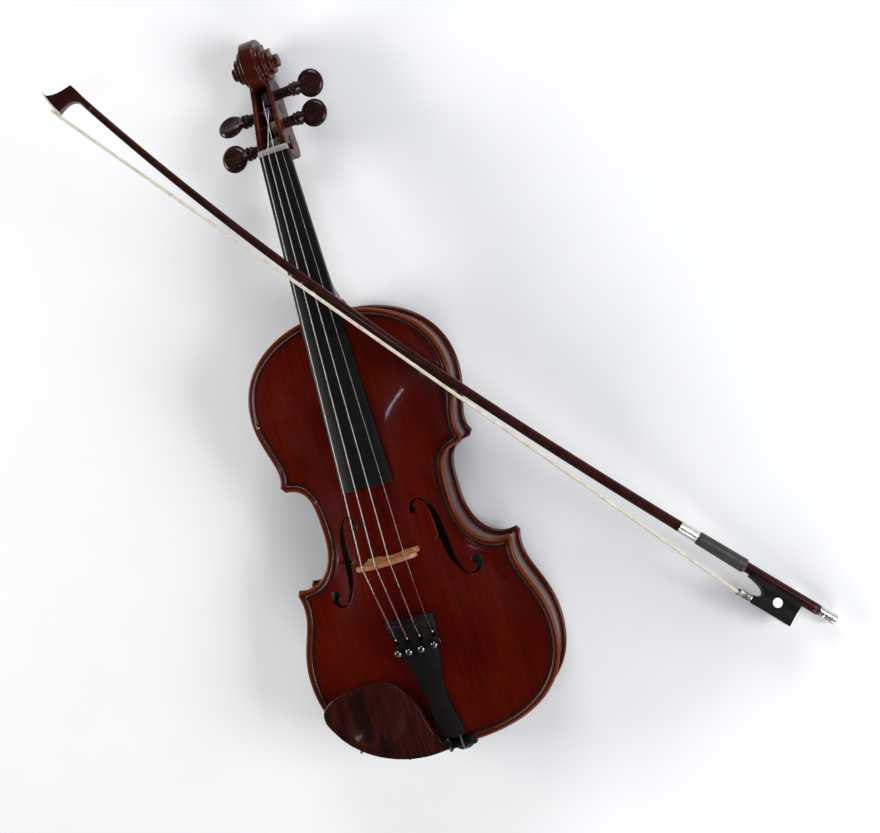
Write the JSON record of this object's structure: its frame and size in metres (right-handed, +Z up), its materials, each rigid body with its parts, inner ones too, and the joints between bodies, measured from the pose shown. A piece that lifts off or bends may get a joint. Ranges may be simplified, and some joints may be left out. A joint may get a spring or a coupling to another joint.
{
  "type": "violin with bow",
  "caption": "Full-size violin lying on its back, with pegs, tuner tailpiece and chin rest, and a bow resting across its strings.",
  "frame": {"origin": "on the centre line straight below the bridge, at the lowest point of the arched back", "axes": "+X to the treble (e string) side, +Y from the bridge towards the scroll, +Z up out of the front"},
  "size_m": [0.4495, 0.5882, 0.1105],
  "materials": {
    "spruce_top": "gloss varnish",
    "maple_body": "gloss varnish",
    "inner_wood": "bare",
    "purfling": "satin",
    "ebony": "satin",
    "bridge_maple": "satin",
    "rosewood": "polished",
    "nut_bone": "satin",
    "cork": "matte",
    "nickel": "polished",
    "steel_string": "bright",
    "silk": "matte",
    "tail_cord": "satin",
    "black_metal": "gloss",
    "bow_wood": "polished",
    "bow_hair": "matte",
    "pearl": "polished",
    "ivory_white": "satin",
    "silver_wire": "bright",
    "grip_leather": "satin",
    "brass": "plain"
  },
  "bodies": {
    "instrument": {"back_plate": "maple_body", "bass_bar": "inner_wood", "bridge": "bridge_maple", "chin_rest": "rosewood", "chin_rest_clamp": "nickel", "chin_rest_cork": "cork", "corner_blocks": "inner_wood", "end_button": "ebony", "fingerboard": "ebony", "linings": "inner_wood", "lower_block": "inner_wood", "neck": "maple_body", "nut": "nut_bone", "purfling": "purfling", "rib_centre_bass": "maple_body", "rib_centre_treble": "maple_body", "rib_lower_bass": "maple_body", "rib_lower_treble": "maple_body", "rib_upper_bass": "maple_body", "rib_upper_treble": "maple_body", "saddle": "ebony", "sound_post": "inner_wood", "string_a": "steel_string", "string_d": "steel_string", "string_e": "steel_string", "string_g": "steel_string", "tail_gut": "tail_cord", "tailpiece": "ebony", "top_plate": "spruce_top", "upper_block": "inner_wood"},
    "peg_g": {"peg_g": "rosewood", "winding_g": "silk"},
    "tuner_screw_g": {"tuner_screw_g": "nickel"},
    "tuner_lever_g": {"tuner_lever_g": "black_metal"},
    "peg_d": {"peg_d": "rosewood", "winding_d": "silk"},
    "tuner_screw_d": {"tuner_screw_d": "nickel"},
    "tuner_lever_d": {"tuner_lever_d": "black_metal"},
    "peg_a": {"peg_a": "rosewood", "winding_a": "silk"},
    "tuner_screw_a": {"tuner_screw_a": "nickel"},
    "tuner_lever_a": {"tuner_lever_a": "black_metal"},
    "peg_e": {"peg_e": "rosewood", "winding_e": "silk"},
    "tuner_screw_e": {"tuner_screw_e": "nickel"},
    "tuner_lever_e": {"tuner_lever_e": "black_metal"},
    "chin_rest_barrel_left": {"chin_rest_barrel_left": "nickel"},
    "chin_rest_barrel_right": {"chin_rest_barrel_right": "nickel"},
    "bow": {"bow_stick": "bow_wood", "bow_head_plate": "ivory_white", "bow_hair": "bow_hair", "bow_winding": "silver_wire", "bow_grip": "grip_leather"},
    "bow_frog": {"bow_frog": "ebony", "bow_ferrule": "nickel", "bow_pearl_slide": "pearl", "bow_heel_plate": "nickel", "bow_pearl_eyes": "pearl", "bow_eyelet": "brass"},
    "bow_screw": {"bow_screw": "nickel"}
  },
  "joints": [
    {"name": "peg_g_turn", "type": "hinge", "parent": "instrument", "child": "peg_g", "pos_m": [0, 0.333, 0.028], "axis": [-1, 0, 0], "range_deg": [-360, 360]},
    {"name": "tuner_screw_g_turn", "type": "hinge", "parent": "instrument", "child": "tuner_screw_g", "pos_m": [-0.0152, -0.0726, 0.07337], "axis": [0, 0, -1], "range_deg": [0, 1080]},
    {"name": "tuner_lever_g_tilt", "type": "hinge", "parent": "instrument", "child": "tuner_lever_g", "pos_m": [-0.0152, -0.0635, 0.06677], "axis": [1, 0, 0], "range_deg": [-0.1, 7.3]},
    {"name": "peg_d_turn", "type": "hinge", "parent": "instrument", "child": "peg_d", "pos_m": [0, 0.3587, 0.0225], "axis": [-1, 0, 0], "range_deg": [-360, 360]},
    {"name": "tuner_screw_d_turn", "type": "hinge", "parent": "instrument", "child": "tuner_screw_d", "pos_m": [-0.0052, -0.0726, 0.07655], "axis": [0, 0, -1], "range_deg": [0, 1080]},
    {"name": "tuner_lever_d_tilt", "type": "hinge", "parent": "instrument", "child": "tuner_lever_d", "pos_m": [-0.0052, -0.0635, 0.06995], "axis": [1, 0, 0], "range_deg": [-0.1, 7.3]},
    {"name": "peg_a_turn", "type": "hinge", "parent": "instrument", "child": "peg_a", "pos_m": [0, 0.3705, 0.0205], "axis": [1, 0, 0], "range_deg": [-360, 360]},
    {"name": "tuner_screw_a_turn", "type": "hinge", "parent": "instrument", "child": "tuner_screw_a", "pos_m": [0.005, -0.0726, 0.07658], "axis": [0, 0, -1], "range_deg": [0, 1080]},
    {"name": "tuner_lever_a_tilt", "type": "hinge", "parent": "instrument", "child": "tuner_lever_a", "pos_m": [0.005, -0.0635, 0.06998], "axis": [1, 0, 0], "range_deg": [-0.1, 7.3]},
    {"name": "peg_e_turn", "type": "hinge", "parent": "instrument", "child": "peg_e", "pos_m": [0, 0.347, 0.025], "axis": [1, 0, 0], "range_deg": [-360, 360]},
    {"name": "tuner_screw_e_turn", "type": "hinge", "parent": "instrument", "child": "tuner_screw_e", "pos_m": [0.0148, -0.0726, 0.07356], "axis": [0, 0, -1], "range_deg": [0, 1080]},
    {"name": "tuner_lever_e_tilt", "type": "hinge", "parent": "instrument", "child": "tuner_lever_e", "pos_m": [0.0148, -0.0635, 0.06696], "axis": [1, 0, 0], "range_deg": [-0.1, 7.3]},
    {"name": "chin_rest_barrel_right_turn", "type": "hinge", "parent": "instrument", "child": "chin_rest_barrel_right", "pos_m": [-0.04, -0.1612, 0.031], "axis": [0, 0, 1], "range_deg": [-360, 360]},
    {"name": "chin_rest_barrel_left_turn", "type": "hinge", "parent": "instrument", "child": "chin_rest_barrel_left", "pos_m": [-0.0776, -0.1472, 0.031], "axis": [0, 0, 1], "range_deg": [-360, 360]},
    {"name": "bow_lift", "type": "slide", "parent": "instrument", "child": "bow", "axis": [0, 0, 1], "range_m": [0, 0.15]},
    {"name": "bow_screw_turn", "type": "hinge", "parent": "bow", "child": "bow_screw", "pos_m": [0.3052, -0.1469, 0.0051], "axis": [-0.6487, 0.7455, 0.1531], "range_deg": [-720, 1440]},
    {"name": "bow_frog_slide", "type": "slide", "parent": "bow", "child": "bow_frog", "axis": [0.6487, -0.7455, -0.1531], "range_m": [-0.0019, 0.0037]}
  ],
  "couplings": [
    {"joint": "tuner_lever_g_tilt", "follows": "tuner_screw_g_turn", "ratio": 0.0066667},
    {"joint": "tuner_lever_d_tilt", "follows": "tuner_screw_d_turn", "ratio": 0.0066667},
    {"joint": "tuner_lever_a_tilt", "follows": "tuner_screw_a_turn", "ratio": 0.0066667},
    {"joint": "tuner_lever_e_tilt", "follows": "tuner_screw_e_turn", "ratio": 0.0066667},
    {"joint": "bow_frog_slide", "follows": "bow_screw_turn", "m_per_rad": 0.00014324}
  ]
}
